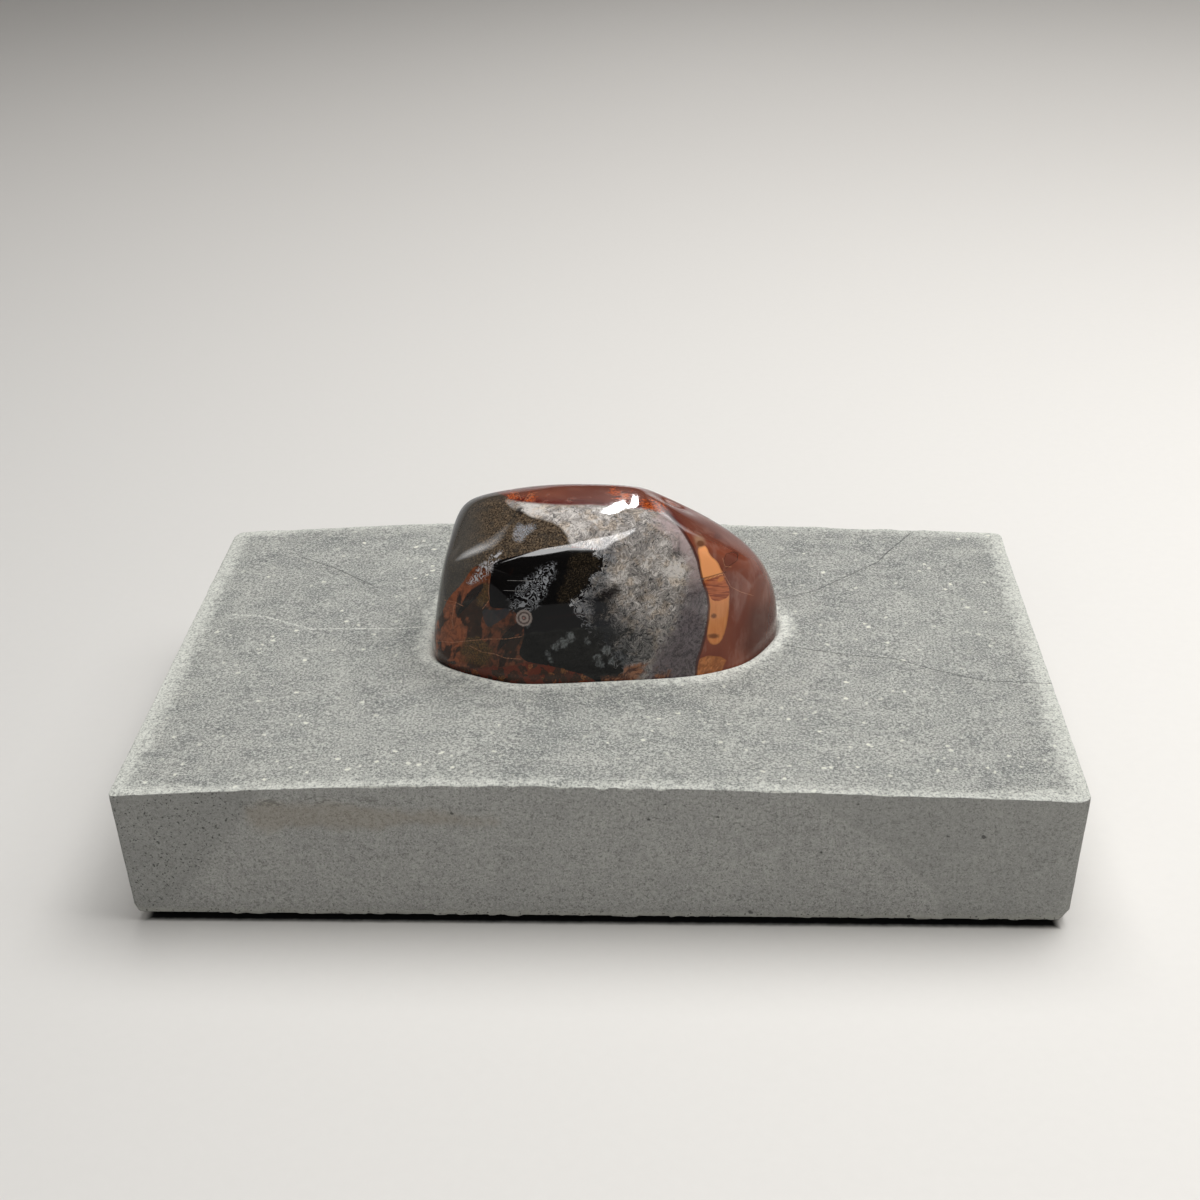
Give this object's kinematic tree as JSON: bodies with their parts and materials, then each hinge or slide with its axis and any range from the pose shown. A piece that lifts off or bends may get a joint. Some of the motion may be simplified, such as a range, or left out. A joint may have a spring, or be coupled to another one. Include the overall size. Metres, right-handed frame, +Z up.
{
  "type": "lake superior agate specimen",
  "caption": "Tumbled, polished agate pebble with red, orange, white and black markings, bedded in a small grey cast-stone slab that stands flat.",
  "frame": {"origin": "middle of the slab's flat underside, on the surface that it stands on", "axes": "+X along the slab's long side, to the right as the agate is viewed; -Y towards the viewer, where the agate's black and white window faces; +Z up"},
  "size_m": [0.15, 0.097, 0.0534],
  "materials": {
    "agate": "polished",
    "cast_stone": "matte"
  },
  "bodies": {
    "root": {"agate": "agate", "slab": "cast_stone"}
  },
  "joints": []
}
